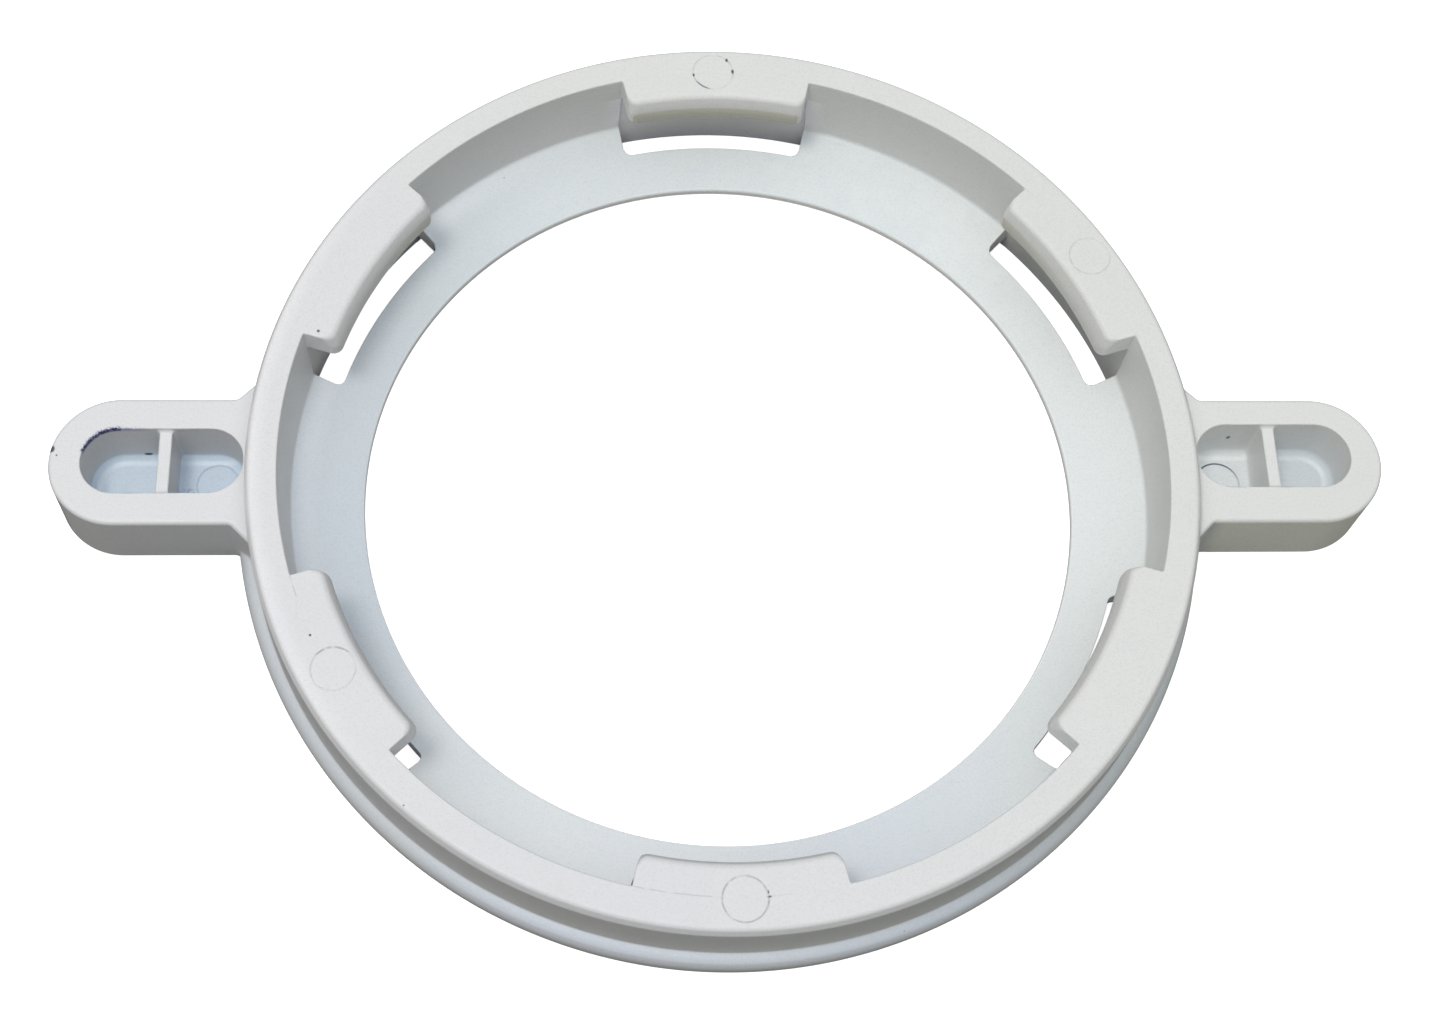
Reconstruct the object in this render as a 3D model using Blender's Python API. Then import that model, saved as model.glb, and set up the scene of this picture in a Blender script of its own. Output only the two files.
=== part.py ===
"""Bayonet locking ring of a toilet flange: one injection-moulded plastic part.

Frame: +Z is up, the origin is on the ring's own axis, in the plane of the foot
ring it rests on. The two gripping ears lie on the X axis, the bayonet mouth
faces up. Dimensions are in millimetres and are turned into metres as vertices
are made; angles are in degrees.
"""
import math

import bmesh
import bpy
from mathutils import Matrix

MM = 0.001

# ---------------------------------------------------------------- dimensions
# Ring body
RIM_OUTER_R = 90.4          # outer wall at the rim
RIM_INNER_R = 84.1          # mouth of the bayonet
RIM_TOP_Z = 24.3            # rim face, also the top of the whole part
RIM_BEVEL_W = 0.8           # steep bevel round the outer rim edge, radially
RIM_BEVEL_H = 1.6           # and in height
RIM_BREAK_IN = 0.15         # small facet over the bevel's top: start, inward of the bevel
RIM_BREAK_OUT = 0.1         # its end, outward
RIM_BREAK_H = 0.25          # and its height
WALL_FOOT_R = 90.6          # outer wall where it meets the shoulder (draft)
SHOULDER_Z = 11.0           # where the sloping shoulder leaves the wall
SHOULDER_R = 93.0           # largest radius of the ring
SHOULDER_LEAN = 50.0        # slope of the shoulder face normal above level
SHOULDER_ROUND = 1.6        # how far its nose is blended into the side
SHOULDER_ROUND_DEGS = (90, 60, 38, 18, 0)   # stations on that blend
FOOT_EDGE_W = 3.8           # deep rounding under the shoulder, radially
FOOT_EDGE_H = 6.6           # and in height
FOOT_EDGE_STEPS = 4
FOOT_INNER_R = 85.0         # inside of the foot ring
RING_STEPS = 120            # facets round the ring
SHARP_DEG = 30              # edges steeper than this are shaded sharp

# Dished floor with the central hole
HOLE_R = 69.3
FLOOR_HOLE_Z = 2.3          # floor surface at the hole
FLOOR_WALL_Z = 8.2          # floor surface at the wall
FLOOR_WALL_R = 83.1         # inner wall at the floor (draft towards the mouth)
HOLE_EDGE_R = 0.5
HOLE_EDGE_STEPS = 2
UNDER_HOLE_Z = 0.4          # underside of the floor at the hole
UNDER_WALL_Z = 3.4          # and inside the foot ring
UNDER_WALL_R = 84.6

# Bayonet lugs
LUG_COUNT = 6
LUG_PITCH_DEG = 360.0 / LUG_COUNT
LUG_FIRST_DEG = LUG_PITCH_DEG / 2   # the ears lie midway between lugs
LUG_HALF_DEG = 13.05
LUG_INNER_R = 77.1
LUG_ROOT_R = (RIM_INNER_R + RIM_OUTER_R) / 2    # buried in the wall
LUG_UNDER_Z = 18.4
LUG_EXTRA_DEPTH = 1.0       # trimmed off the underside by the slot cutter
LUG_CORNER_R = 2.0
LUG_LEAD_W = 1.45           # chamfer on the inner edge of each lug's top face
LUG_LEAD_H = 2.4

# Slots moulded through the floor below the lugs
SLOT_INNER_R = 77.5
SLOT_OUTER_R = 84.0
SLOT_HALF_DEG = 13.45       # at the floor
SLOT_TOP_HALF_DEG = 13.1    # just below the lug
SLOT_CORNER_R = 1.6
SLOT_CUT_BOTTOM_Z = -4.0    # clear of the foot plane
SLOT_UPRIGHT_Z = FLOOR_WALL_Z + 1.0     # inner wall is upright up to here
SLOT_TOP_INNER_R = SLOT_INNER_R - 2.0   # then leans in, clear of the lug's inner edge

SECTOR_CORNER_STEPS = 3     # facets on a rounded corner of a lug or slot
SECTOR_ARC_STEPS = 8        # facets along its inner and outer arcs

# Gripping ears on +X (right) and -X (left)
EAR_SIDES = ("right", "left")
EAR_END_X = 126.9
EAR_HALF_W = 12.8
EAR_TOP_Z = 20.0
EAR_BOTTOM_Z = 2.4
EAR_TOP_EDGE_R = 0.9
EAR_TOP_EDGE_STEPS = 2
EAR_BOTTOM_EDGE_R = 2.2
EAR_BOTTOM_EDGE_STEPS = 3
EAR_END_STEPS = 14
EAR_FLARE_X = 92.6          # where the 45 degree flare into the ring starts
EAR_FLARE_RUN = 5.4         # its length along X, and its spread along Y
EAR_ROOT_R = 86.6           # the ear's root, buried in the ring wall
EAR_ROOT_HALF_DEG = 11.0
EAR_ROOT_STEPS = 6

# Blind pocket in each ear
POCKET_NEAR_X = 91.1
POCKET_FAR_X = 121.0
POCKET_HALF_W = 6.55
POCKET_FLOOR_Z = 7.4
POCKET_CUT_TOP_Z = RIM_TOP_Z - 1.0      # clear of the ear's top
POCKET_DRAFT = 0.25
POCKET_FILLET_R = 1.6
POCKET_FILLET_STEPS = 2
POCKET_END_STEPS = 10
POCKET_SHIFT_RIGHT = 0.9    # the right ear's pocket sits this far towards +Y

# One rib across each pocket
RIB_X = 105.6
RIB_THICK = 2.4
RIB_HALF_LENGTH = POCKET_HALF_W + 1.2   # ends buried in the pocket's sides
RIB_BOTTOM_Z = POCKET_FLOOR_Z - 1.5     # foot buried in the pocket's floor
RIB_TOP_Z = 19.3


# ------------------------------------------------------------------- outlines
def polar(radius, deg):
    return radius * math.cos(math.radians(deg)), radius * math.sin(math.radians(deg))


def arc(center, radius_x, radius_y, start_deg, end_deg, steps):
    """Points on an elliptical arc, both ends included."""
    points = []
    for i in range(steps + 1):
        angle = math.radians(start_deg + (end_deg - start_deg) * i / steps)
        points.append((center[0] + radius_x * math.cos(angle),
                       center[1] + radius_y * math.sin(angle)))
    return points


def round_arc(center, radius, start_deg, end_deg, steps):
    return arc(center, radius, radius, start_deg, end_deg, steps)


def sector_outline(inner_r, outer_r, mid_deg, half_deg, corner_r):
    """Plan of an annular sector whose two inner corners are rounded.

    The sides are radial. A corner circle touches the inner arc and the side,
    so its centre sits at radius inner_r + corner_r.
    """
    center_r = inner_r + corner_r
    inset_deg = math.degrees(math.asin(corner_r / center_r))    # side to corner centre
    start_deg, end_deg = mid_deg - half_deg, mid_deg + half_deg
    first_deg, last_deg = start_deg + inset_deg, end_deg - inset_deg

    points = round_arc(polar(center_r, first_deg), corner_r,
                       start_deg - 90.0, first_deg - 180.0, SECTOR_CORNER_STEPS)
    for i in range(1, SECTOR_ARC_STEPS):
        points.append(polar(inner_r, first_deg + (last_deg - first_deg) * i / SECTOR_ARC_STEPS))
    points += round_arc(polar(center_r, last_deg), corner_r,
                        last_deg + 180.0, end_deg + 90.0, SECTOR_CORNER_STEPS)
    points += round_arc((0.0, 0.0), outer_r, end_deg, start_deg, SECTOR_ARC_STEPS)
    return points


def obround(near_x, far_x, half_w):
    """Plan of a slot along X with half-round ends."""
    return (round_arc((far_x - half_w, 0.0), half_w, -90, 90, POCKET_END_STEPS)
            + round_arc((near_x + half_w, 0.0), half_w, 90, 270, POCKET_END_STEPS))


# --------------------------------------------------------------- mesh helpers
def loft(bm, levels):
    """Closed solid through (height, outline) levels, bottom first.

    All outlines have the same number of points. Returns the vertex loops.
    """
    loops = [[bm.verts.new((x * MM, y * MM, z * MM)) for x, y in outline]
             for z, outline in levels]
    bm.faces.new(loops[0][::-1])
    bm.faces.new(loops[-1])
    for lower, upper in zip(loops, loops[1:]):
        for i in range(len(lower)):
            j = (i + 1) % len(lower)
            bm.faces.new((lower[i], lower[j], upper[j], upper[i]))
    bm.normal_update()
    return loops


def round_loop(bm, loop, radius, segments):
    """Round the edges that join a closed loop of vertices."""
    edges = []
    for i, vert in enumerate(loop):
        following = loop[(i + 1) % len(loop)]
        edges.append(next(e for e in vert.link_edges if e.other_vert(vert) == following))
    bmesh.ops.bevel(bm, geom=edges, offset=radius * MM, offset_type="OFFSET",
                    segments=segments, profile=0.5, affect="EDGES", clamp_overlap=True)


def spin_profile(profile):
    """Turn a closed (radius, height) profile once round the Z axis."""
    bm = bmesh.new()
    verts = [bm.verts.new((r * MM, 0.0, z * MM)) for r, z in profile]
    edges = [bm.edges.new((vert, verts[(i + 1) % len(verts)])) for i, vert in enumerate(verts)]
    bmesh.ops.spin(bm, geom=verts + edges, cent=(0, 0, 0), axis=(0, 0, 1),
                   angle=2 * math.pi, steps=RING_STEPS, use_merge=False)
    bmesh.ops.remove_doubles(bm, verts=bm.verts[:], dist=1e-6)
    return bm


def turn_to_side(bm, side):
    """Parts are drawn on +X; the left ear's are turned half round to -X."""
    if side == "left":
        bmesh.ops.rotate(bm, verts=bm.verts[:], cent=(0, 0, 0),
                         matrix=Matrix.Rotation(math.pi, 3, "Z"))


def make_object(name, bm):
    bmesh.ops.recalc_face_normals(bm, faces=bm.faces[:])
    mesh = bpy.data.meshes.new(name)
    bm.to_mesh(mesh)
    bm.free()
    ob = bpy.data.objects.new(name, mesh)
    bpy.context.scene.collection.objects.link(ob)
    return ob


def make_guide(name, bm):
    """A boolean tool: drawn as wire and left out of renders."""
    ob = make_object(name, bm)
    ob.hide_render = True
    ob.display_type = "WIRE"
    return ob


def add_boolean(ob, tool, operation, name):
    mod = ob.modifiers.new(name, "BOOLEAN")
    mod.operation = operation
    mod.solver = "EXACT"
    mod.object = tool


# -------------------------------------------------------------- the ring body
def shoulder_points():
    """Sloping shoulder face and the blend of its nose into the side."""
    lean = math.radians(SHOULDER_LEAN)
    points = []
    for deg in SHOULDER_ROUND_DEGS:
        angle = math.radians(deg)
        r = SHOULDER_R - SHOULDER_ROUND * (1.0 - math.cos(angle))
        depth = SHOULDER_ROUND * (1.0 - math.sin(angle))
        drop = (depth + (r - WALL_FOOT_R) * math.cos(lean)) / math.sin(lean)
        points.append((r, SHOULDER_Z - drop))
    return points


def ring_profile():
    """Closed (radius, height) section: down the outside, in below, up the inside."""
    bevel_r = RIM_OUTER_R - RIM_BEVEL_W
    floor_slope = math.degrees(math.atan2(FLOOR_WALL_Z - FLOOR_HOLE_Z, FLOOR_WALL_R - HOLE_R))
    return [
        (RIM_INNER_R, RIM_TOP_Z),
        (bevel_r - RIM_BREAK_IN, RIM_TOP_Z),
        (bevel_r + RIM_BREAK_OUT, RIM_TOP_Z - RIM_BREAK_H),
        (RIM_OUTER_R, RIM_TOP_Z - RIM_BEVEL_H),
        (WALL_FOOT_R, SHOULDER_Z),
        *shoulder_points(),
        *arc((SHOULDER_R - FOOT_EDGE_W, FOOT_EDGE_H), FOOT_EDGE_W, FOOT_EDGE_H,
             0, -90, FOOT_EDGE_STEPS),
        (FOOT_INNER_R, 0.0),
        (UNDER_WALL_R, UNDER_WALL_Z),
        (HOLE_R, UNDER_HOLE_Z),
        *round_arc((HOLE_R + HOLE_EDGE_R, FLOOR_HOLE_Z - HOLE_EDGE_R), HOLE_EDGE_R,
                   180, 90 + floor_slope, HOLE_EDGE_STEPS),
        (FLOOR_WALL_R, FLOOR_WALL_Z),
    ]


def ring_body():
    ring = make_object("locking_ring", spin_profile(ring_profile()))
    ring.data.materials.append(white_plastic())
    ring.data.shade_smooth()
    ring.data.set_sharp_from_angle(angle=math.radians(SHARP_DEG))
    return ring


# -------------------------------------------------------------- lugs and slots
def lug_angles():
    return [LUG_FIRST_DEG + k * LUG_PITCH_DEG for k in range(LUG_COUNT)]


def lug_blocks():
    """Lugs flush with the rim face; each one's root is in the wall."""
    bm = bmesh.new()
    for mid_deg in lug_angles():
        plan, top_face = (
            sector_outline(inner_r, LUG_ROOT_R, mid_deg, LUG_HALF_DEG, LUG_CORNER_R)
            for inner_r in (LUG_INNER_R, LUG_INNER_R + LUG_LEAD_W))
        loft(bm, [(LUG_UNDER_Z - LUG_EXTRA_DEPTH, plan),
                  (RIM_TOP_Z - LUG_LEAD_H, plan),
                  (RIM_TOP_Z, top_face)])
    return make_guide("lug_blocks_guide", bm)


def slot_cutters():
    """Through slots, wider at the bottom, up to the lugs' underside."""
    widening_per_mm = (SLOT_HALF_DEG - SLOT_TOP_HALF_DEG) / (LUG_UNDER_Z - FLOOR_WALL_Z)
    stations = (    # height, inner radius
        (SLOT_CUT_BOTTOM_Z, SLOT_INNER_R),
        (SLOT_UPRIGHT_Z, SLOT_INNER_R),
        (LUG_UNDER_Z, SLOT_TOP_INNER_R),
    )
    bm = bmesh.new()
    for mid_deg in lug_angles():
        levels = []
        for z, inner_r in stations:
            half_deg = SLOT_TOP_HALF_DEG + widening_per_mm * (LUG_UNDER_Z - z)
            levels.append((z, sector_outline(inner_r, SLOT_OUTER_R, mid_deg, half_deg,
                                             SLOT_CORNER_R)))
        loft(bm, levels)
    return make_guide("slot_cutters_guide", bm)


# ------------------------------------------------------------------- the ears
def ear_outline():
    """Plan of the +X ear: rounded end, straight sides, 45 degree flares, buried root."""
    flare_end_x = EAR_FLARE_X - EAR_FLARE_RUN
    flare_end_y = EAR_HALF_W + EAR_FLARE_RUN
    return [
        *round_arc((EAR_END_X - EAR_HALF_W, 0.0), EAR_HALF_W, -90, 90, EAR_END_STEPS),
        (EAR_FLARE_X, EAR_HALF_W),
        (flare_end_x, flare_end_y),
        *round_arc((0.0, 0.0), EAR_ROOT_R, EAR_ROOT_HALF_DEG, -EAR_ROOT_HALF_DEG,
                   EAR_ROOT_STEPS),
        (flare_end_x, -flare_end_y),
        (EAR_FLARE_X, -EAR_HALF_W),
    ]


def ear_block(side):
    bm = bmesh.new()
    outline = ear_outline()
    bottom, top = loft(bm, [(EAR_BOTTOM_Z, outline), (EAR_TOP_Z, outline)])
    round_loop(bm, top, EAR_TOP_EDGE_R, EAR_TOP_EDGE_STEPS)
    round_loop(bm, bottom, EAR_BOTTOM_EDGE_R, EAR_BOTTOM_EDGE_STEPS)
    turn_to_side(bm, side)
    return make_guide("ear_block_guide_" + side, bm)


def pocket_cutter(side):
    """Drafted pocket, narrower at its filleted floor."""
    bm = bmesh.new()
    floor = obround(POCKET_NEAR_X + POCKET_DRAFT, POCKET_FAR_X - POCKET_DRAFT,
                    POCKET_HALF_W - POCKET_DRAFT)
    mouth = obround(POCKET_NEAR_X, POCKET_FAR_X, POCKET_HALF_W)
    bottom, _ = loft(bm, [(POCKET_FLOOR_Z, floor), (POCKET_CUT_TOP_Z, mouth)])
    round_loop(bm, bottom, POCKET_FILLET_R, POCKET_FILLET_STEPS)
    turn_to_side(bm, side)
    if side == "right":
        bmesh.ops.translate(bm, verts=bm.verts[:], vec=(0.0, POCKET_SHIFT_RIGHT * MM, 0.0))
    return make_guide("pocket_cutter_guide_" + side, bm)


def rib_block(side):
    bm = bmesh.new()
    near_x, far_x = RIB_X - RIB_THICK / 2, RIB_X + RIB_THICK / 2
    plan = [(near_x, -RIB_HALF_LENGTH), (far_x, -RIB_HALF_LENGTH),
            (far_x, RIB_HALF_LENGTH), (near_x, RIB_HALF_LENGTH)]
    loft(bm, [(RIB_BOTTOM_Z, plan), (RIB_TOP_Z, plan)])
    turn_to_side(bm, side)
    return make_guide("rib_guide_" + side, bm)


# ------------------------------------------------------------------- material
def make_material(name, colour, roughness, metallic):
    mat = bpy.data.materials.new(name)
    mat.use_nodes = True
    shader = mat.node_tree.nodes["Principled BSDF"]
    shader.inputs["Base Color"].default_value = (*colour, 1.0)
    shader.inputs["Roughness"].default_value = roughness
    shader.inputs["Metallic"].default_value = metallic
    mat.diffuse_color = (*colour, 1.0)
    return mat


def white_plastic():
    return make_material("white_plastic", colour=(0.76, 0.77, 0.76), roughness=0.42,
                         metallic=0.0)


# ------------------------------------------------------------------- assembly
def clear_scene():
    for ob in list(bpy.data.objects):
        bpy.data.objects.remove(ob, do_unlink=True)
    for mesh in list(bpy.data.meshes):
        bpy.data.meshes.remove(mesh)
    for mat in list(bpy.data.materials):
        bpy.data.materials.remove(mat)


def build():
    clear_scene()
    ring = ring_body()
    # each rib goes in after its pocket is cut, or the pocket would remove it
    for side in EAR_SIDES:
        add_boolean(ring, ear_block(side), "UNION", "ear_" + side)
        add_boolean(ring, pocket_cutter(side), "DIFFERENCE", "pocket_" + side)
        add_boolean(ring, rib_block(side), "UNION", "rib_" + side)
    add_boolean(ring, lug_blocks(), "UNION", "lugs")
    add_boolean(ring, slot_cutters(), "DIFFERENCE", "slots")


build()
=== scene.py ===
"""Bayonet locking ring: one white satin injection moulding.

The ring lies flat with its axis on Z and its foot at z = 0. The two gripping
ears point along +X and -X, and the front faces -Y. The moulding is a signed
distance field with real fillet radii, meshed on a polar grid that follows the
ring, with every vertex then moved onto the exact surface.
"""
import functools
import itertools
import math
from types import SimpleNamespace

import bmesh
import bpy
import numpy as np
from mathutils import Matrix


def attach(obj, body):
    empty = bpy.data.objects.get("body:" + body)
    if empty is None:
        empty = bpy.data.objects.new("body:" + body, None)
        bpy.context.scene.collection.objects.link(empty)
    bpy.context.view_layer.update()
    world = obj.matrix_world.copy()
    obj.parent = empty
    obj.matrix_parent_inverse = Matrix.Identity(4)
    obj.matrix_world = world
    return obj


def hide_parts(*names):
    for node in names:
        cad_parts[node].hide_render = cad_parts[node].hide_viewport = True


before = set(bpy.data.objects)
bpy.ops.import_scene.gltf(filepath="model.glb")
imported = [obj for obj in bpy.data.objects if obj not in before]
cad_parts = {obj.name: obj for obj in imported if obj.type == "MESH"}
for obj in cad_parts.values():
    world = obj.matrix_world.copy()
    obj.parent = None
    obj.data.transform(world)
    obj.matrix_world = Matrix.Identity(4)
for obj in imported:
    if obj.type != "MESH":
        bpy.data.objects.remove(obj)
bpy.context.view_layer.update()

MM = 0.001

# ------------------------------------------------------------ dimensions, mm
TOP = 24.3
RIM_R, RIM_IN_R = 90.2, 84.1
BEVEL_W, BEVEL_H = 0.8, 1.6          # steep bevel round the rim edge
FRONT_BULGE = 0.42                   # the front of the wall stands this much further out
WALL_DRAFT = 0.1
SHOULDER_Z, SHOULDER_R = 11.0, 93.0
SLOPE_R, LEAN, NOSE = 90.62, math.radians(50), 1.6   # sloping top of the shoulder
FOOT_W, FOOT_H = 3.8, 6.6            # elliptical rounding at the bottom
HOLE_R = 69.3
FLOOR_HOLE_Z, FLOOR_WALL_Z, FLOOR_WALL_R = 2.3, 8.2, 83.1
UNDER_HOLE_Z, UNDER_WALL_Z, UNDER_WALL_R = 0.4, 3.3, 83.9
FLOOR_REACH, LUG_REACH = 86.0, 88.0  # floor and lugs end here, buried in the wall
LUG_PITCH = 60.0                     # degrees; the first lug is centred half a pitch from +X
LUG_R, LUG_Z, LUG_HALF = 77.1, 18.4, 13.05           # LUG_HALF in degrees
LEAD_W, LEAD_H = 1.45, 2.8           # chamfer on the inner edge of each lug
SLOT_IN_R, SLOT_OUT_R = 77.5, 83.9
SLOT_HALF, SLOT_TAPER = 13.45, 0.35  # degrees: half angle at the floor, lost by the lug
EAR_END, EAR_HALF = 126.9, 12.8
EAR_TOP, EAR_BOTTOM = 20.0, 2.4
EAR_ROOT_R, FLARE_ROOT_X = 86.5, 80.0                # buried in the ring
FLARE_SUM = 92.6 + EAR_HALF          # |x| + |y| on a flare
POCKET_FAR, POCKET_NEAR, POCKET_HALF, POCKET_FLOOR = 120.95, 90.75, 6.5, 7.4
POCKET_END = POCKET_FAR - POCKET_HALF                # centre of the round far end
POCKET_ROOT_R = 90.7                 # the pocket stays outside this radius
POCKET_TAPER = 0.25                  # half-width lost over the depth of the pocket
POCKET_SHIFT = 0.9                   # the +X pocket sits this far towards +Y
RIB_X, RIB_HALF, RIB_TOP = 105.6, 1.2, 19.1
RIB_REACH, RIB_BASE, RIB_DRAFT = 7.7, 5.5, 0.012     # half length, underside, side slope
# round ejector-pin marks: x, y, radius
LUG_PINS = [(-0.5, 84.35, 4.02), (73.1, 42.1, 4.02), (-71.9, -42.4, 4.02), (0.55, -84.45, 4.02)]
POCKET_PINS = [(-96.9, 0.4, 4.0), (97.75, 0.2, 4.4)]

# grid lines, mm: (start, spacing), each used up to the next start
RADIUS_STOPS = [(68.7, .2), (70.1, .55), (76.7, .2), (80.2, .4), (83.5, .12), (84.7, .35),
                (88.8, .2), (93.6, .42)]
RADIUS_END = 127.9
HEIGHT_STOPS = [(-0.45, .2), (1.0, .35), (7.0, .22), (12.0, .45), (17.9, .2), (20.5, .4),
                (23.2, .16)]
HEIGHT_END = 24.72
GRID_SCALE = 1.0
LUG_SIDE_ANGLE = 13.2                # degrees; the finest azimuths lie round here
EARS_ONLY_R, EARS_ONLY_HALF = 94.6, 9.5   # further out only +-9.5 degrees hold material


# ------------------------------------------------- signed distance operators
def intersect(a, b, fillet):
    """Intersection with its convex edge rounded to the fillet radius."""
    return (np.minimum(-fillet, np.maximum(a, b))
            + np.hypot(np.maximum(a + fillet, 0), np.maximum(b + fillet, 0)))


def unite(a, b, fillet):
    """Union with its concave corner filled to the fillet radius."""
    return -intersect(-a, -b, fillet)


def intersect_ellipse(a, b, width, height):
    """Intersection of two faces whose edge is rounded to an ellipse."""
    u, v = (a + width) / width, (b + height) / height
    outside = np.hypot(np.maximum(u, 0), np.maximum(v, 0))
    return (np.minimum(np.maximum(u, v), 0) + outside - 1) * min(width, height)


def smoothstep(start, end, x):
    t = np.clip((x - start) / (end - start), 0, 1)
    return t * t * (3 - 2 * t)


def groove(distance, depth, width):
    return depth * np.exp(-(distance / width) ** 2)


def sector(radius, lug_angle, half):
    """Wedge reaching half degrees to either side of a lug centre."""
    return radius * np.sin(np.radians(lug_angle - half))


# ------------------------------------------------------- parts of the moulding
def ring_body(y, z, radius):
    """Wall, shoulder, foot and dished floor."""
    drop = (RIM_IN_R - FLOOR_WALL_R) / (TOP - FLOOR_WALL_Z)
    bore = (FLOOR_WALL_R + (z - FLOOR_WALL_Z) * drop) - radius
    rim = RIM_R + FRONT_BULGE * smoothstep(0.1, 0.6, -y / np.maximum(radius, 1.0))
    wall = radius - (rim + (TOP - z) * WALL_DRAFT / (TOP - SHOULDER_Z))
    slope = (radius - SLOPE_R) * math.cos(LEAN) + (z - SHOULDER_Z) * math.sin(LEAN)
    shoulder = np.maximum(intersect(slope, radius - SHOULDER_R, NOSE),
                          intersect_ellipse(radius - SHOULDER_R, -z, FOOT_W, FOOT_H))
    body = unite(wall, shoulder, fillet=0.2)
    tilt = math.atan2(BEVEL_W, BEVEL_H)
    bevel = (radius - rim) * math.cos(tilt) + (z - TOP + BEVEL_H) * math.sin(tilt)
    body = intersect(body, bevel, fillet=0.10)
    body = intersect(np.maximum(body, -z), bore, fillet=0.35)

    rise = (FLOOR_WALL_Z - FLOOR_HOLE_Z) / (FLOOR_WALL_R - HOLE_R)
    upper = (z - FLOOR_HOLE_Z - rise * (radius - HOLE_R)) / math.hypot(1, rise)
    rise = (UNDER_WALL_Z - UNDER_HOLE_Z) / (UNDER_WALL_R - HOLE_R)
    under = (UNDER_HOLE_Z + rise * (radius - HOLE_R) - z) / math.hypot(1, rise)
    floor = intersect(intersect(upper, HOLE_R - radius, fillet=0.55), under, fillet=0.3)
    body = unite(body, np.maximum(floor, radius - FLOOR_REACH), fillet=0.45)
    return intersect(body, np.minimum(under, UNDER_WALL_R - radius), fillet=0.05)


def slots(z, radius, lug_angle):
    """Slots through the floor, and the relieved wall above them."""
    climb = (np.clip(z, FLOOR_WALL_Z, LUG_Z) - FLOOR_WALL_Z) / (LUG_Z - FLOOR_WALL_Z)
    side = sector(radius, lug_angle, SLOT_HALF - climb * SLOT_TAPER)
    cut = intersect(SLOT_IN_R - radius, side, fillet=1.6)
    cut = intersect(cut, radius - SLOT_OUT_R, fillet=0.25)
    return np.maximum(cut, z - LUG_Z)


def lugs(z, radius, lug_angle):
    """Six bayonet lugs, left open above for the shared top face."""
    tilt = math.atan2(LEAD_W, LEAD_H)
    lead = (LUG_R + LEAD_W - radius) * math.cos(tilt) + (z - TOP) * math.sin(tilt)
    lug = intersect(LUG_R - radius, lead, fillet=0.8)
    lug = intersect(lug, sector(radius, lug_angle, LUG_HALF), fillet=1.9)
    lug = intersect(lug, LUG_Z - z, fillet=0.35)
    return np.maximum(lug, radius - LUG_REACH)


def top_height(x, y, radius, lug_angle):
    """The flat top, with pin marks and the insert witness lines in it."""
    top = TOP + np.zeros_like(radius)
    for pin_x, pin_y, pin_r in LUG_PINS:
        distance = np.hypot(x - pin_x, y - pin_y) - pin_r
        top = (top - 0.03 * smoothstep(0.1, -0.1, distance)
               - groove(distance, depth=0.07, width=0.12))
    witness = groove(radius - 84.15, depth=0.025, width=0.14)
    return top - witness * smoothstep(13.0, 12.6, lug_angle)


def ears(x_abs, y, z, radius):
    """Round-ended gripping ears with 45 degree flares at the root."""
    ear = np.hypot(np.maximum(x_abs - (EAR_END - EAR_HALF), 0), y) - EAR_HALF
    flare = np.maximum((np.abs(y) + x_abs - FLARE_SUM) / math.sqrt(2), FLARE_ROOT_X - x_abs)
    ear = unite(ear, flare, fillet=0.4)
    ear = intersect(ear, z - EAR_TOP, fillet=0.85)
    ear = intersect(ear, EAR_BOTTOM - z, fillet=2.3)
    return np.maximum(ear, EAR_ROOT_R - radius)


def pockets(x, x_abs, y, z, y_pocket, radius):
    """Blind pocket in each ear; its floor carries a pin mark."""
    half = POCKET_HALF - POCKET_TAPER * (EAR_TOP - z) / 12.6
    past_end = x_abs - np.clip(x_abs, POCKET_NEAR + POCKET_HALF, POCKET_END)
    pocket = np.hypot(past_end, y_pocket) - half
    bottom = POCKET_FLOOR + np.zeros_like(radius)
    for pin_x, pin_y, pin_r in POCKET_PINS:
        distance = np.hypot(x - pin_x, y - pin_y) - pin_r
        bottom = bottom - groove(distance, depth=0.14, width=0.15)
    pocket = intersect(pocket, bottom - z, fillet=1.9)
    return intersect(pocket, POCKET_ROOT_R - radius, fillet=0.3)


def ribs(x_abs, z, y_pocket):
    """Upright rib across each pocket."""
    rib = np.abs(x_abs - RIB_X) - (RIB_HALF + RIB_DRAFT * (RIB_TOP - z))
    rib = intersect(rib, z - RIB_TOP, fillet=0.3)
    return np.maximum(np.maximum(rib, np.abs(y_pocket) - RIB_REACH), RIB_BASE - z)


def solid(x, y, z):
    """Signed distance to the whole moulding, in mm; negative inside."""
    radius = np.hypot(x, y)
    x_abs = np.abs(x)
    y_pocket = y - np.where(x > 0, POCKET_SHIFT, 0.0)
    # degrees from the nearest lug centre
    lug_angle = np.abs(np.mod(np.degrees(np.arctan2(y, x)), LUG_PITCH) - LUG_PITCH / 2)

    field = ring_body(y, z, radius)
    field = intersect(field, -slots(z, radius, lug_angle), fillet=0.18)
    field = unite(field, lugs(z, radius, lug_angle), fillet=0.3)
    # the top edge is rounder on the lug tips and towards the rim
    edge = 0.3 + 0.5 * smoothstep(80.8, 79.6, radius) + 0.25 * smoothstep(86.4, 87.6, radius)
    field = intersect(field, z - top_height(x, y, radius, lug_angle), edge)
    field = unite(field, ears(x_abs, y, z, radius), fillet=0.35)
    field = intersect(field, -pockets(x, x_abs, y, z, y_pocket, radius), fillet=0.22)
    return unite(field, ribs(x_abs, z, y_pocket), fillet=0.85)


def gradient(points, h=0.02):
    x, y, z = points.T
    return np.stack([solid(x + h, y, z) - solid(x - h, y, z),
                     solid(x, y + h, z) - solid(x, y - h, z),
                     solid(x, y, z + h) - solid(x, y, z - h)], 1) / (2 * h)


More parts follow.
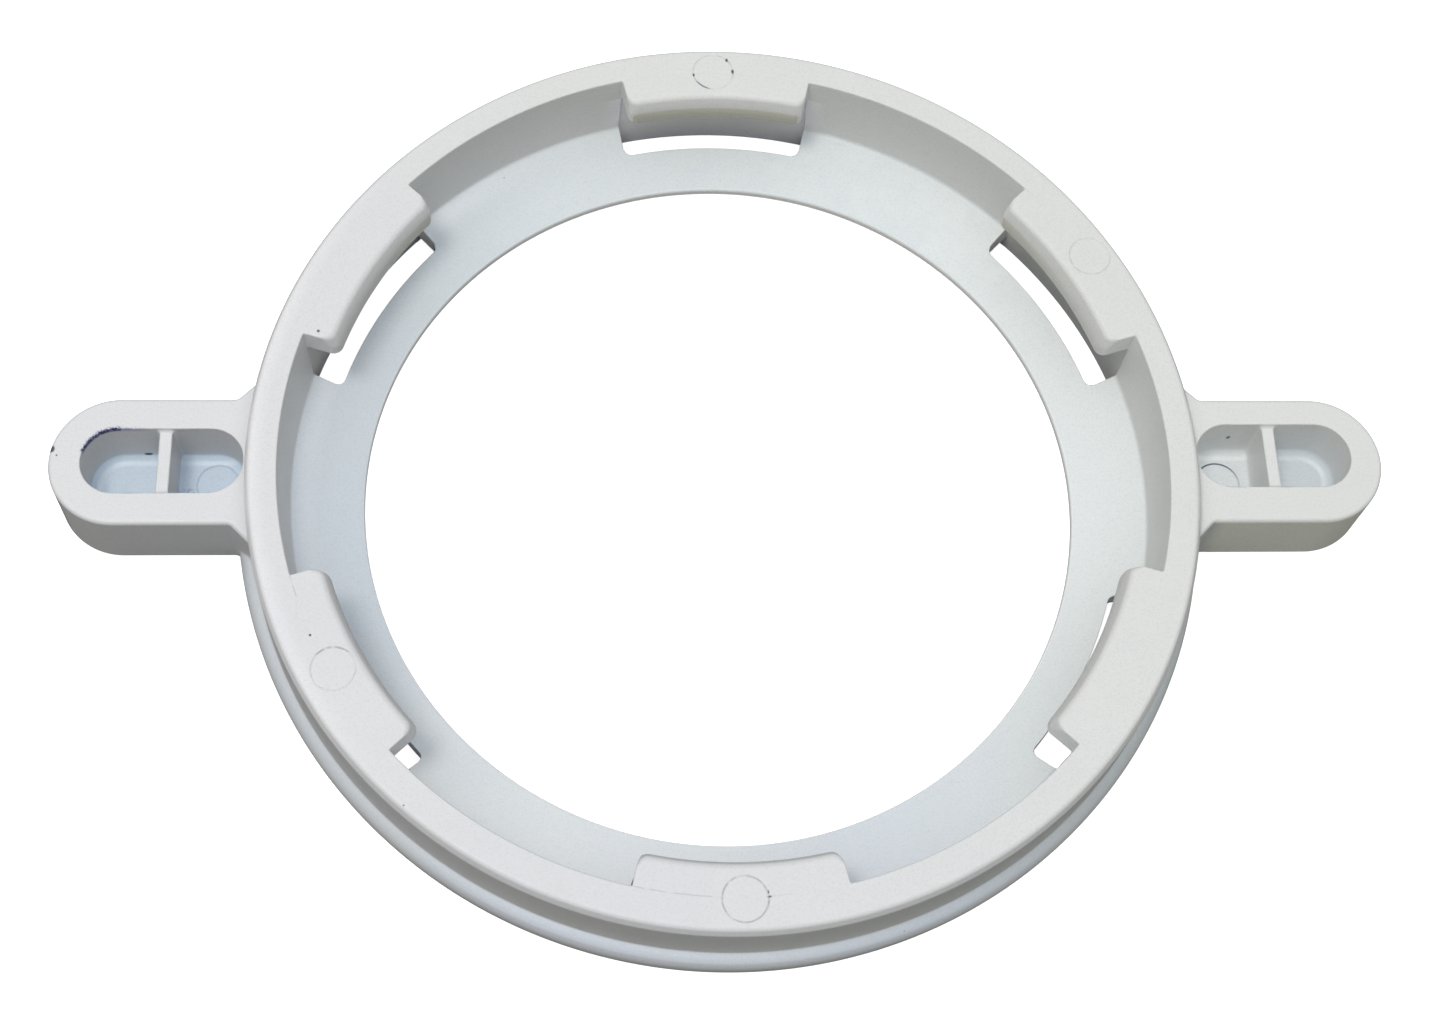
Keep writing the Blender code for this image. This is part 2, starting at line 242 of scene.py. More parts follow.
def settle(points, rounds, longest=0.3):
    """Moves points onto the surface along the gradient, in steps of at most longest mm."""
    for _ in range(rounds):
        value = solid(*points.T)
        slope = gradient(points)
        move = -(value / np.maximum((slope * slope).sum(1), 0.05))[:, None] * slope
        size = np.linalg.norm(move, axis=1)
        move *= np.minimum(1.0, longest / np.maximum(size, 1e-9))[:, None]
        points = points + move
    return points


# ---------------------------------------------------------------- polar mesh
def grid_lines(stops, end):
    lines = []
    ends = [start for start, _ in stops[1:]] + [end]
    for (start, spacing), stop in zip(stops, ends):
        count = max(1, int(round((stop - start) / (spacing * GRID_SCALE))))
        lines += [start + (stop - start) * j / count for j in range(count)]
    return np.array(lines + [end])


def angle_apart(a, b):
    return abs((a - b + 180) % 360 - 180)


def azimuth_lines():
    """Azimuths in degrees, finer near the lug and slot sides and across the ears."""
    marks = [(LUG_PITCH / 2 + LUG_PITCH * k + side * LUG_SIDE_ANGLE) % 360
             for k in range(6) for side in (-1, 1)]
    angle, lines = 0.0, []
    while angle < 360.0 - 1e-6:
        lines.append(angle)
        to_side = min(angle_apart(angle, mark) for mark in marks)
        to_ear = min(angle_apart(angle, 0), angle_apart(angle, 180))
        if to_side < 0.9:
            spacing = 0.14
        elif to_side < 1.9:
            spacing = 0.25
        elif to_ear < 11.5:
            spacing = 0.27
        else:
            spacing = 0.5
        angle += spacing * GRID_SCALE
    if 360.0 - lines[-1] < 0.08 * GRID_SCALE:
        lines.pop()
    return np.array(lines)


def sample_field(radii, azimuths, heights):
    """The field on the grid, worked in slabs of radii to save memory."""
    field = np.full((len(radii), len(azimuths), len(heights)), 1.0, np.float32)
    cos, sin = np.cos(np.radians(azimuths)), np.sin(np.radians(azimuths))

    def fill(rows, columns):
        radius = radii[rows, None, None]
        field[rows, columns] = solid(radius * cos[None, columns, None],
                                     radius * sin[None, columns, None], heights[None, None, :])

    ears_start, slab = int(np.searchsorted(radii, EARS_ONLY_R)), 12
    for first in range(0, ears_start, slab):
        fill(slice(first, min(first + slab, ears_start)), slice(None))
    from_ear = np.minimum(np.abs((azimuths + 180) % 360 - 180), np.abs(azimuths - 180))
    fill(slice(ears_start, None), from_ear < EARS_ONLY_HALF)
    return field


def cell_points(field, cells):
    """Mean of the edge crossings in each cell, as fractions of the cell."""
    i, j, k = cells
    corners = list(itertools.product((0, 1), repeat=3))
    value = {c: field[i + c[0], (j + c[1]) % field.shape[1], k + c[2]].astype(float)
             for c in corners}
    total, count = np.zeros((len(i), 3)), np.zeros(len(i))
    for corner in corners:
        for axis in range(3):
            if corner[axis]:
                continue
            other = tuple(1 if n == axis else corner[n] for n in range(3))
            a, b = value[corner], value[other]
            hit = (a < 0) != (b < 0)
            point = np.tile(np.array(corner, float), (len(i), 1))
            point[:, axis] = np.where(hit, a / np.where(hit, a - b, 1.0), 0.0)
            total += point * hit[:, None]
            count += hit
    return total / count[:, None]


def cell_quads(inside, index):
    """One quad round each grid edge that crosses the surface, facing outwards."""
    around = inside.shape[1]
    after = np.roll(np.arange(around), -1)
    quads = []

    def add(flip, *cells):
        ids = np.stack([index[cell] for cell in cells], 1)
        quads.append(np.where(flip[:, None], ids[:, ::-1], ids))

    # edges along the radius
    i, j, k = np.nonzero(inside[:-1, :, 1:-1] != inside[1:, :, 1:-1])
    k = k + 1
    before = (j - 1) % around
    add(~inside[i, j, k], (i, before, k - 1), (i, j, k - 1), (i, j, k), (i, before, k))
    # edges along the azimuth
    i, j, k = np.nonzero(inside[1:-1, :, 1:-1] != inside[1:-1, after][:, :, 1:-1])
    i, k = i + 1, k + 1
    add(~inside[i, j, k], (i - 1, j, k - 1), (i - 1, j, k), (i, j, k), (i, j, k - 1))
    # edges along the height
    i, j, k = np.nonzero(inside[1:-1, :, :-1] != inside[1:-1, :, 1:])
    i = i + 1
    before = (j - 1) % around
    add(~inside[i, j, k], (i - 1, before, k), (i, before, k), (i, j, k), (i - 1, j, k))
    return np.concatenate(quads)


def build_surface():
    """Points (mm) and quads of the closed surface, one point per crossed cell."""
    radii = grid_lines(RADIUS_STOPS, RADIUS_END)
    heights = grid_lines(HEIGHT_STOPS, HEIGHT_END)
    azimuths = azimuth_lines()
    field = sample_field(radii, azimuths, heights)
    inside = field < 0
    filled = inside.astype(np.uint8)
    filled = filled[:, :, :-1] + filled[:, :, 1:]
    filled = filled[:-1] + filled[1:]
    filled = filled + np.roll(filled, -1, axis=1)
    i, j, k = cells = np.nonzero((filled > 0) & (filled < 8))
    index = np.full(filled.shape, -1, np.int32)
    index[cells] = np.arange(len(i))

    part = cell_points(field, cells)
    closed = np.append(azimuths, 360.0)
    radius = radii[i] + (radii[i + 1] - radii[i]) * part[:, 0]
    angle = np.radians(closed[j] + (closed[j + 1] - closed[j]) * part[:, 1])
    z = heights[k] + (heights[k + 1] - heights[k]) * part[:, 2]
    points = np.stack([radius * np.cos(angle), radius * np.sin(angle), z], 1)
    return settle(points, rounds=4), cell_quads(inside, index)


def set_points(mesh, points):
    mesh.vertices.foreach_set("co", (points * MM).astype(np.float32).ravel())


def to_mesh(name, points, quads):
    mesh = bpy.data.meshes.new(name)
    mesh.vertices.add(len(points))
    set_points(mesh, points)
    mesh.loops.add(quads.size)
    mesh.loops.foreach_set("vertex_index", quads.astype(np.int32).ravel())
    mesh.polygons.add(len(quads))
    mesh.polygons.foreach_set("loop_start", np.arange(0, quads.size, 4, dtype=np.int32))
    mesh.update(calc_edges=True)
    mesh.validate()
    return mesh


def on_pin_mark(face, reach):
    """True for an upward face within reach mm of a pin-mark circle."""
    c = face.calc_center_median() / MM
    if c.z > TOP - 0.25:
        pins = LUG_PINS
    elif 6.5 < c.z < POCKET_FLOOR + 0.35 and abs(c.x) > 91 and abs(c.y) < POCKET_HALF:
        pins = POCKET_PINS
    else:
        return False
    return face.normal.z > 0.9 and any(
        abs(math.hypot(c.x - x, c.y - y) - radius) < reach for x, y, radius in pins)


def refine_marks(mesh):
    """Splits the faces round each pin mark until its groove is resolved."""
    bm = bmesh.new()
    bm.from_mesh(mesh)
    for reach in ((0.95, 0.45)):
        chosen = [face for face in bm.faces if on_pin_mark(face, reach)]
        edges = list({edge for face in chosen for edge in face.edges})
        bmesh.ops.subdivide_edges(bm, edges=edges, cuts=2, use_grid_fill=True)
    bmesh.ops.triangulate(bm, faces=[face for face in bm.faces if len(face.verts) > 4])
    bm.to_mesh(mesh)
    bm.free()


def build_ring():
    mesh = to_mesh("ring_moulding", *build_surface())
    refine_marks(mesh)
    flat = np.empty(len(mesh.vertices) * 3, np.float32)
    mesh.vertices.foreach_get("co", flat)
    points = settle(flat.reshape(-1, 3).astype(float) / MM, rounds=2)
    set_points(mesh, points)
    mesh.update()
    mesh.shade_smooth()
    normals = gradient(points, h=0.015)
    normals /= np.maximum(np.linalg.norm(normals, axis=1), 1e-9)[:, None]
    mesh.normals_split_custom_set_from_vertices(normals.tolist())
    ring = bpy.data.objects.new("ring_moulding", mesh)
    bpy.context.scene.collection.objects.link(ring)
    return ring


# ------------------------------------------------------------ shader helpers
class Signal:
    """A node output; arithmetic on it adds the matching Math nodes."""

    def __init__(self, nodes, socket):
        self.nodes, self.socket = nodes, socket

    def __add__(self, other):
        return self.nodes.math("ADD", self, other)

    def __sub__(self, other):
        return self.nodes.math("SUBTRACT", self, other)

    def __mul__(self, other):
        return self.nodes.math("MULTIPLY", self, other)

    def __truediv__(self, other):
        return self.nodes.math("DIVIDE", self, other)

    def __abs__(self):
        return self.nodes.math("ABSOLUTE", self)

    def root(self):
        return self.nodes.math("SQRT", self)

    def larger(self, other):
        return self.nodes.math("MAXIMUM", self, other)

    def scaled(self, by, plus):
        return self.nodes.math("MULTIPLY_ADD", self, by, plus)

    def above(self, start, full):
        """0 up to start, rising smoothly to 1 at full."""
        return self.nodes.map_range(self, start, full, 0.0, 1.0)

    def below(self, start, full):
        """0 down to start, rising smoothly to 1 at the smaller value full."""
        return self.nodes.map_range(self, full, start, 1.0, 0.0)


class Nodes:
    """Adds nodes to a tree and hands back their outputs as Signals."""

    def __init__(self, tree):
        self.tree, self.count = tree, 0

    def put(self, socket, value):
        if isinstance(value, Signal):
            self.tree.links.new(value.socket, socket)
        else:
            socket.default_value = value

    def add(self, kind, inputs=None, output=0, **props):
        """Adds a node, fills its inputs by name or index, and returns one output."""
        node = self.tree.nodes.new(kind)
        self.count += 1
        node.location = (-2600 + 150 * (self.count % 16), 800 - 140 * (self.count // 16))
        for name, value in props.items():
            setattr(node, name, value)
        for key, value in (inputs or {}).items():
            self.put(node.inputs[key], value)
        return Signal(self, node.outputs[output])

    def math(self, operation, *values):
        return self.add("ShaderNodeMath", dict(enumerate(values)), operation=operation)

    def vector_math(self, operation, inputs, output=0):
        return self.add("ShaderNodeVectorMath", inputs, output, operation=operation)

    def map_range(self, *values):
        return self.add("ShaderNodeMapRange", dict(enumerate(values)),
                        interpolation_type="SMOOTHSTEP")

    def split(self, vector):
        first = self.add("ShaderNodeSeparateXYZ", {0: vector})
        return [Signal(self, socket) for socket in first.socket.node.outputs]

    def noise(self, vector, scale, detail=2.0, rough=0.5, distortion=0.0):
        return self.add("ShaderNodeTexNoise",
                        {"Vector": vector, "Scale": scale, "Detail": detail,
                         "Roughness": rough, "Distortion": distortion},
                        "Fac", noise_dimensions="3D")

    def mix(self, mask, under, over, blend="MIX"):
        """Blends two colours, each a Signal or an (r, g, b)."""
        under, over = (c if isinstance(c, Signal) else (*c, 1) for c in (under, over))
        return self.add("ShaderNodeMix", {0: mask, 6: under, 7: over}, 2,
                        data_type="RGBA", blend_type=blend)

    def tint(self, base, tints):
        """Multiplies base by each (mask, colour) in turn."""
        for mask, colour in tints:
            base = self.mix(mask, base, colour, "MULTIPLY")
        return base

    def near(self, position, centre, radius, soft, squash):
        """1 inside a small ellipsoid, fading over soft; all in mm."""
        offset = self.vector_math("SUBTRACT", {0: position, 1: centre})
        offset = self.vector_math("MULTIPLY", {0: offset, 1: squash})
        distance = self.vector_math("LENGTH", {0: offset}, "Value")
        return distance.below(radius + soft, radius - soft)


def largest(signals):
    return functools.reduce(Signal.larger, signals)


def new_material(name):
    material = bpy.data.materials.new(name)
    material.use_nodes = True
    tree = material.node_tree
    return material, Nodes(tree), tree.nodes["Principled BSDF"]


# ------------------------------------------------------------- white plastic
# Masks below are in mm; "up" is the upward part of the surface normal.

# dirt in each lug pin mark: amount all round, then darker arcs
# (middle in degrees from +X, half width in degrees, darkness)
LUG_PIN_DIRT = [
    (0.10, [(234, 26, 0.95), (6, 20, 0.6), (50, 30, 0.35), (192, 8, 0.5)]),
    (0.12, [(200, 40, 0.25)]),
    (0.14, [(100, 42, 0.45), (55, 18, 0.5)]),
    (0.34, [(355, 14, 0.8), (115, 50, 0.30), (215, 30, 0.3)])]
POCKET_PIN_DIRT = (0.22, 0.95)
# dirty stretches of the witness line: start and end in degrees, darkness
SEAM_DIRT_R = 84.12
SEAM_DIRT = [(-103.2, -92.6, 0.40), (-87.0, -84.0, 0.18), (-163.2, -160.0, 0.50),
             (41.5, 43.0, 0.2)]
# dark specks: centre, radius, softness, squash along each axis
SPECKS = [
    ((-126.25, 2.35, 19.4), 0.55, 0.16, (1.0, 0.75, 0.45)),
    ((-125.3, 1.05, 20.0), 0.17, 0.08, (1, 1, 1)),
    ((-76.25, -36.1, 24.3), 0.23, 0.1, (1, 1, 1)), ((-77.6, 25.0, 24.2), 0.3, 0.15, (1, 1, 1)),
    ((-19.0, -81.6, 24.3), 0.16, 0.1, (1, 1, 1)), ((-58.6, -67.4, 24.3), 0.14, 0.1, (1, 1, 1)),
    ((-4.5, 83.6, 24.3), 0.22, 0.12, (1, 0.6, 1)), ((2.3, 87.2, 24.3), 0.26, 0.14, (1, 0.7, 1)),
    ((3.45, 84.5, 24.3), 0.32, 0.16, (1.2, 0.7, 1)),
    ((4.75, -84.1, 24.3), 0.16, 0.16, (0.5, 1, 1)),
    ((4.55, -83.3, 24.3), 0.14, 0.14, (1, 0.5, 1)),
    ((-2.1, 77.3, 23.5), 0.20, 0.15, (0.8, 1, 1)), ((-2.6, 77.6, 24.1), 0.12, 0.12, (1, 1, 1)),
    ((-110.3, 6.15, 8.9), 0.85, 0.2, (1, 2.4, 2.4)), ((-118.4, 3.6, 9.4), 0.3, 0.12, (1, 1, 1)),
    ((-119.6, 1.6, 9.6), 0.2, 0.1, (1, 1, 1)), ((99.1, 7.3, 14.2), 0.36, 0.2, (1, 1, 0.6))]


def surface_signals(nodes):
    """Coordinates in mm and the noises shared by several layers."""
    position = nodes.add("ShaderNodeNewGeometry", output="Position")
    normal = Signal(nodes, position.socket.node.outputs["True Normal"])
    position = nodes.vector_math("SCALE", {0: position, "Scale": 1000.0})
    x, y, z = nodes.split(position)
    return SimpleNamespace(
        position=position, x=x, y=y, z=z, up=nodes.split(normal)[2],
        radius=(x * x + y * y).root(), angle=nodes.math("ARCTAN2", y, x),
        flow=nodes.noise(position, scale=0.16, detail=4.0, rough=0.6, distortion=0.8),
        fine=nodes.noise(position, scale=2.4, detail=3.0, rough=0.65),
        breakup=nodes.noise(position, scale=0.55, detail=2.0, rough=0.5))


def body_colour(nodes, at):
    """Slightly uneven white, a little greyer in broad patches, with a painted light cast across
    it.
    """
    broad = nodes.noise(at.position, scale=0.022, detail=3.0, rough=0.55, distortion=0.4)
    # painted light cast: cooler towards -X and the front, warmer towards +X and the back
    light_cast_across = at.y.scaled(by=0.8, plus=at.x)
    base = nodes.mix(light_cast_across.above(-80.0, 70.0), (0.684, 0.690, 0.730), (0.700, 0.708, 0.698))
    for mask, colour in ((broad.above(0.35, 0.68) * 0.5, (0.722, 0.726, 0.728)),
                         (at.flow.above(0.42, 0.75) * 0.35, (0.672, 0.690, 0.705)),
                         (at.fine.above(0.42, 0.74) * 0.52, (0.58, 0.595, 0.60))):
        base = nodes.mix(mask, base, colour)
    # painted cool skylight on the low upward faces (floor, lip, pocket floors), partly also the
    # thin plastic's translucency
    skylight_and_thin = at.z.below(13.5, 9.5) * at.up.above(0.15, 0.6)
    return nodes.tint(base, [(skylight_and_thin, (1.03, 1.085, 1.125))])


def paint_pocket_light(nodes, at, base):
    # painted highlight and painted light in the ear pockets
    x, y, z = at.x, at.y, at.z
    pocket = abs(x).above(90.8, 91.4) * z.below(12.0, 7.6) * abs(y).below(8.2, 7.6)
    # painted highlight: pale line on the floor's fillet, 1.7 mm in from the pocket outline
    far = (abs(x) - POCKET_END).larger(0.0)
    off = y - x.above(-1.0, 1.0) * POCKET_SHIFT
    inset = nodes.math("SUBTRACT", POCKET_HALF, (far * far + off * off).root())
    fillet_highlight = abs(inset - 1.7).below(0.8, 0.1) * z.below(9.0, 7.9) * pocket
    fillet_highlight = fillet_highlight * at.flow.above(0.35, 0.65).scaled(by=0.35, plus=0.25)
    base = nodes.mix(fillet_highlight, base, (0.93, 0.95, 0.97))
    right = pocket * x.above(-60.0, 60.0)
    return nodes.tint(base, [
        # painted cool light in the -X pocket
        (pocket * x.below(60.0, -60.0), (0.94, 1.03, 1.10)),
        # painted light on the +X pocket, brighter inside its rib, a touch cooler outside it
        (right * x.below(107.0, 104.0), (1.12, 1.11, 1.09)),
        (right * x.above(104.0, 107.0), (0.98, 0.99, 1.01))])


def paint_wall_light_and_shade(nodes, at, base):
    # every tint here is painted light or painted shade on the walls
    x, y, z, radius = at.x, at.y, at.z, at.radius
    upright = at.up.below(0.5, 0.25)
    left_pocket = x.below(-90.0, -91.0) * abs(y).below(8.6, 8.0) * upright
    inside = radius.below(84.9, 84.7) * upright
    lug_face = radius.below(77.6, 77.4) * upright * (z.below(22.0, 21.2) * z.above(17.6, 18.0))
    relief = (inside * radius.above(83.0, 83.3)
              * (z.below(18.6, 18.2) * abs(x).below(24.0, 18.0)))
    front = (y * -1.0 / radius).above(0.70, 0.96) * radius.above(90.3, 90.9)
    right_ear_front = x.above(92.0, 96.0) * y.below(-7.0, -9.0) * upright
    return nodes.tint(base, [
        # painted shade on the -X pocket walls, painted light on the inner wall
        (left_pocket, (0.83, 0.81, 0.79)),
        (inside * x.above(-40.0, 55.0), (1.13, 1.13, 1.14)),
        (inside * x.below(55.0, -40.0), (1.06, 1.06, 1.06)),
        # painted shade on the back lugs' inner faces, painted light on the relieved wall under
        # the lugs
        (lug_face * y.above(30.0, 60.0), (0.82, 0.81, 0.71)),
        (relief, (1.28, 1.28, 1.34)),
        # front of the ring: painted highlight on the top of the shoulder, painted shade on the
        # foot below it and on the wall above
        (front * (z.below(11.6, 11.0) * z.above(8.8, 9.4)), (1.11, 1.13, 1.17)),
        (front * z.below(9.4, 8.8), (0.97, 0.98, 1.0)),
        (front * z.above(10.5, 12.0), (0.98, 0.97, 0.90)),
        # painted light on the front of the +X ear
        (right_ear_front, (1.24, 1.24, 1.13))])


def paint_floor_light_and_shade(nodes, at, base):
    """Painted light and shade on the hole's lip, the dished floor, and the left of the rim
    edge.
    """
    x, y, z, radius = at.x, at.y, at.z, at.radius
    lip = radius.below(70.4, 69.6) * at.up.below(0.9, 0.7)
    dish = radius.below(84.0, 83.0) * z.below(9.5, 8.6) * at.up.above(0.5, 0.8)
    left = dish * x.below(-30.0, -70.0)
    rim_left = x.below(-60.0, -84.0) * radius.above(86.0, 89.0) * z.above(20.5, 22.5)
    return nodes.tint(base, [
        # painted highlight on the hole's lip; painted light near the left wall and a painted
        # shade band further in
        (lip, (1.25, 1.25, 1.25)),
        (left * radius.above(78.5, 82.0), (1.16, 1.16, 1.16)),
        (left * radius.below(80.0, 77.0), (0.90, 0.92, 0.93)),
        # painted light on the right and front of the dish and on the left of the rim edge
        (dish * x.above(35.0, 70.0), (1.07, 1.05, 1.03)),
        (dish * (y.below(-25.0, -50.0) * x.below(20.0, -10.0)), (1.10, 1.08, 1.04)),
        (rim_left, (1.09, 1.08, 1.09))])


def scuff_mask(nodes, at):
    """Grey rubbed-in scuffs, stretched along the way the ring is turned."""
    turned = nodes.add("ShaderNodeCombineXYZ",
                       {0: at.angle * 26.0, 1: at.radius * 0.85, 2: at.z * 0.3})
    scuff = nodes.noise(turned, scale=1.0, detail=5.0, rough=0.7, distortion=0.3)
    return scuff.above(0.60, 0.74) * 0.14


def from_pin(at, pin):
    """Offsets from a pin's centre and the distance from its circle."""
    pin_x, pin_y, pin_r = pin
    dx, dy = at.x - pin_x, at.y - pin_y
    return dx, dy, abs((dx * dx + dy * dy).root() - pin_r)


def groove_dirt(at):
    """Dirt settled in the pin-mark grooves, broken up along the circle."""
    grooves = []
    for pin, (amount, arcs) in zip(LUG_PINS, LUG_PIN_DIRT):
        dx, dy, distance = from_pin(at, pin)
        line = distance.below(0.24, 0.04) * at.z.above(24.0, 24.1)
        grooves.append(line * at.breakup.above(0.42, 0.62).scaled(by=amount, plus=0.05))
        wide = (distance + at.breakup * 0.25).below(0.46, 0.16) * at.z.above(24.0, 24.1)
        for middle, half, dark in arcs:
            middle = math.radians(middle)
            along = dx * math.cos(middle) + dy * math.sin(middle)
            edge = pin[2] * math.cos(math.radians(half))
            broken = along.above(edge - 0.15, edge + 0.35) * at.breakup.above(0.36, 0.56)
            grooves.append(wide * broken * dark)
    for pin, amount in zip(POCKET_PINS, POCKET_PIN_DIRT):
        dx, dy, distance = from_pin(at, pin)
        line = distance.below(0.26, 0.06) * at.z.below(8.2, 7.9)
        # strongest towards -X and +Y
        line = line * (dx + dy * -1.0).below(4.5, -2.0).scaled(by=0.7, plus=0.3)
        grooves.append(line * amount)
    return largest(grooves)


def seam_dirt(at):
    seam = abs(at.radius - SEAM_DIRT_R).below(0.17, 0.03) * at.z.above(24.0, 24.1)
    degrees = at.angle * (180.0 / math.pi)
    soft = 0.3
    pieces = [degrees.above(a - soft, a + soft) * degrees.below(b + soft, b - soft) * dark
              for a, b, dark in SEAM_DIRT]
    return seam * largest(pieces) * at.breakup.above(0.30, 0.50)


def speck_mask(nodes, at):
    """The placed specks, and tiny ones scattered everywhere."""
    dots = largest([nodes.near(at.position, *speck) for speck in SPECKS])
    tiny = nodes.add("ShaderNodeTexVoronoi",
                     {"Vector": at.position, "Scale": 0.09, "Randomness": 1.0},
                     "Distance", feature="F1", voronoi_dimensions="3D")
    return (dots * 0.92).larger(tiny.below(0.020, 0.008) * 0.45)


def add_ink(nodes, at, base):
    """Ink on the +Y edge of the -X pocket's far end, feathering outwards."""
    x, y, z = at.x, at.y, at.z
    past_end = (x * -1.0 - POCKET_END).larger(0.0)
    outline = (past_end * past_end + y * y).root() - POCKET_HALF
    feather = nodes.noise(at.position, scale=2.1, detail=3.0, rough=0.75)
    edge = outline + (feather - 0.5) * 2.2
    along = y.above(1.3, 2.4) * (x.below(-113.2, -114.6) * x.above(-123.5, -122.5))
    high = z.above(18.6, 19.4)
    ink = edge.below(0.30, 0.02) * along * high
    halo = edge.below(0.62, 0.05) * along * high
    trail = x.below(-107.5, -112.5) * x.above(-116.0, -114.0) * y.above(5.0, 6.0)
    trail = trail * edge.below(0.30, 0.05) * (high * 0.55)
    # a stain low down by the rib
    stain = nodes.near(at.position, (-102.4, -1.6, 7.6), radius=1.5, soft=0.8,
                       squash=(1, 1.5, 1)) * feather.above(0.42, 0.62)
    faint = halo.larger(trail).larger(stain * 0.8) * 0.80
    base = nodes.mix(faint, base, (0.08, 0.08, 0.36))
    return nodes.mix(ink, base, (0.012, 0.012, 0.07))


def plastic_material():
    material, nodes, bsdf = new_material("white_plastic_moulded")
    at = surface_signals(nodes)
    base = body_colour(nodes, at)
    base = paint_pocket_light(nodes, at, base)
    base = paint_wall_light_and_shade(nodes, at, base)
    base = paint_floor_light_and_shade(nodes, at, base)
    scuff = scuff_mask(nodes, at)
    for mask, colour in ((scuff, (0.50, 0.52, 0.53)),
                         (groove_dirt(at), (0.10, 0.115, 0.17)),
                         (seam_dirt(at), (0.33, 0.34, 0.36)),
                         (speck_mask(nodes, at), (0.03, 0.032, 0.04))):
        base = nodes.mix(mask, base, colour)
    base = add_ink(nodes, at, base)

    # satin with a fine moulded grain, rougher where scuffed
    rough = at.flow.above(0.3, 0.75).scaled(by=0.10, plus=0.40)
    rough = rough + scuff * 0.8 + (at.fine - 0.5) * 0.12
    grain = nodes.noise(at.position, scale=3.2, detail=2.0, rough=0.6)
    pits = nodes.noise(at.position, scale=0.9, detail=4.0, rough=0.6)
    bump = nodes.add("ShaderNodeBump", {"Strength": 0.45, "Distance": 0.00012,
                                        "Height": grain * 0.6 + pits * 0.5})
    for name, value in {
            "Base Color": base, "Roughness": rough, "IOR": 1.47, "Specular IOR Level": 0.42,
            "Subsurface Weight": 0.06, "Subsurface Radius": (1.0, 0.95, 0.9),
            "Subsurface Scale": 0.0012, "Normal": bump}.items():
        nodes.put(bsdf.inputs[name], value)
    return material


# ------------------------------------------------------------ floor and light
FLOOR_HALF, FLOOR_Z = 3.0, -0.0002            # metres
FLOOR_BOUNCE, FLOOR_GLOW = 0.13, 0.88         # grey seen by the ring, glow seen by the camera


def floor_material():
    """White sweep; it lights the object's underside only weakly."""
    material, nodes, bsdf = new_material("studio_floor")
    camera_ray = nodes.add("ShaderNodeLightPath", output="Is Camera Ray")
    colour = nodes.mix(camera_ray, (FLOOR_BOUNCE,) * 3, (0.93, 0.935, 0.94))
    nodes.put(bsdf.inputs["Base Color"], colour)
    bsdf.inputs["Roughness"].default_value = 0.9
    bsdf.inputs["Specular IOR Level"].default_value = 0.1
    glow = nodes.add("ShaderNodeEmission",
                     {"Color": (1, 1, 1, 1), "Strength": camera_ray * FLOOR_GLOW})
    both = nodes.add("ShaderNodeAddShader", {0: Signal(nodes, bsdf.outputs[0]), 1: glow})
    nodes.put(nodes.tree.nodes["Material Output"].inputs["Surface"], both)
    return material


def build_floor():
    s = FLOOR_HALF
    mesh = bpy.data.meshes.new("floor")
    mesh.from_pydata([(-s, -s, 0), (s, -s, 0), (s, s, 0), (-s, s, 0)], [], [(0, 1, 2, 3)])
    floor = bpy.data.objects.new("floor", mesh)
    floor.location.z = FLOOR_Z
    bpy.context.scene.collection.objects.link(floor)
    mesh.materials.append(floor_material())


def build_world():
    """Cool overhead, a weak warm band round the sides, dark towards the horizon."""
    world = bpy.data.worlds.new("studio")
    bpy.context.scene.world = world
    world.use_nodes = True
    nodes = Nodes(world.node_tree)
    height = nodes.split(nodes.add("ShaderNodeTexCoord", output="Generated"))[2]
    side = nodes.mix(height.above(0.02, 0.30), (0.10, 0.10, 0.08), (0.36, 0.35, 0.29))
    sky = nodes.mix(height.above(0.50, 0.78), side, (1.03, 1.07, 1.12))
    background = world.node_tree.nodes["Background"]
    nodes.put(background.inputs["Color"], sky)
    background.inputs["Strength"].default_value = 1.0


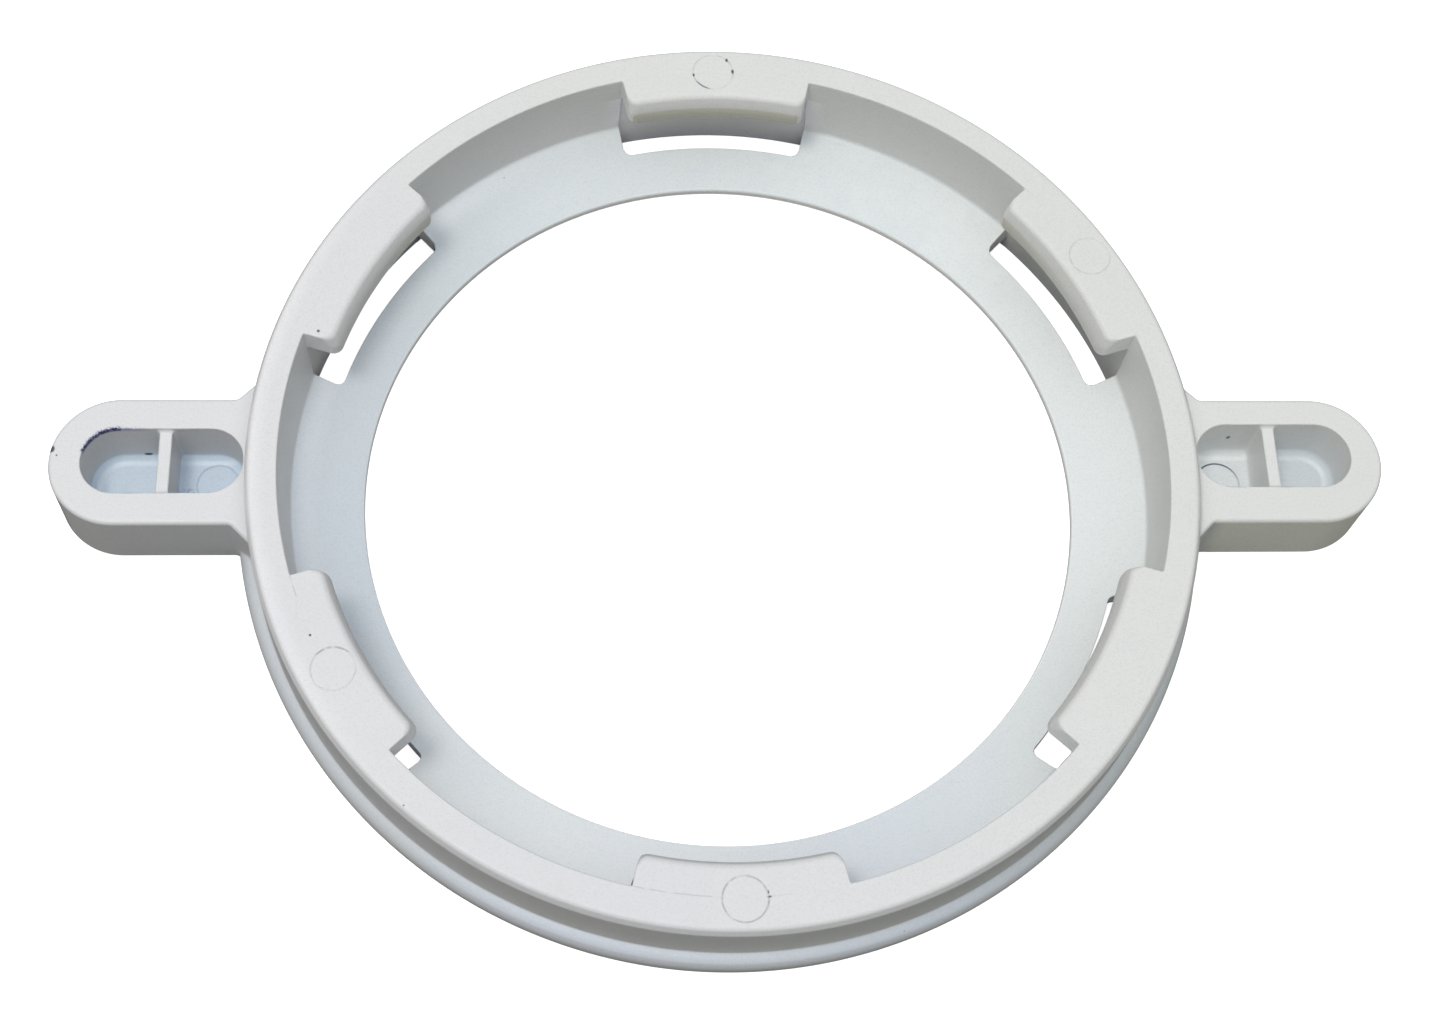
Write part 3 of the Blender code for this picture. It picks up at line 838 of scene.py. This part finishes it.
def build_key_light():
    """Warm disc high on the left, a little to the front, aimed at the origin."""
    light = bpy.data.lights.new("key_overhead_left", "AREA")
    light.shape = "DISK"
    light.size = 0.40
    light.energy = 6.8
    light.color = (1.0, 0.945, 0.87)
    key = bpy.data.objects.new("key_overhead_left", light)
    bpy.context.scene.collection.objects.link(key)
    key.location = (-0.38, -0.14, 1.42)
    z = np.array((-0.38, -0.14, 1.42))
    z /= np.linalg.norm(z)
    x = np.cross((0, 1, 0), z)
    x /= np.linalg.norm(x)
    y = np.cross(z, x)
    key.rotation_euler = Matrix(np.column_stack([x, y, z]).tolist()).to_euler()


# -------------------------------------------------------------------- camera
YAW, PITCH, ROLL = 0.1421, 1.0958, 0.1296     # radians; PITCH is the angle looked down
ORIGIN_IN_VIEW = (0.001503, 0.035622, 0.48033)   # metres right, down and ahead of the camera
SENSOR_W, LENS = 36.0, 60.7216609             # mm
SHIFT_X, SHIFT_Y = 0.00709204152, -0.134597232


def turn_x(angle):
    c, s = math.cos(angle), math.sin(angle)
    return np.array([[1, 0, 0], [0, c, -s], [0, s, c]])


def turn_z(angle):
    c, s = math.cos(angle), math.sin(angle)
    return np.array([[c, -s, 0], [s, c, 0], [0, 0, 1]])


def build_camera():
    """Camera looking 63 degrees down from the front."""
    camera = bpy.data.cameras.new("camera")
    holder = bpy.data.objects.new("camera", camera)
    bpy.context.scene.collection.objects.link(holder)
    # world axes to view axes: right, down, ahead
    level = np.array([[1, 0, 0], [0, 0, -1], [0, 1, 0]], float)
    view = turn_z(ROLL) @ turn_x(PITCH) @ level @ turn_z(YAW)
    location = -view.T @ np.array(ORIGIN_IN_VIEW)
    right, down, ahead = view
    pose = np.eye(4)
    pose[:3] = np.column_stack([right, -down, -ahead, location])
    holder.matrix_world = Matrix(pose.tolist())
    camera.sensor_fit = "HORIZONTAL"
    camera.sensor_width = SENSOR_W
    camera.lens = LENS
    camera.shift_x, camera.shift_y = SHIFT_X, SHIFT_Y
    camera.clip_start, camera.clip_end = 0.01, 20.0
    bpy.context.scene.camera = holder


# ------------------------------------------------------------------ assembly
ring = build_ring()
ring.data.materials.append(plastic_material())
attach(ring, "root")
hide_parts("locking_ring")
build_floor()
build_world()
build_key_light()
build_camera()
bpy.context.scene.view_settings.view_transform = "Standard"
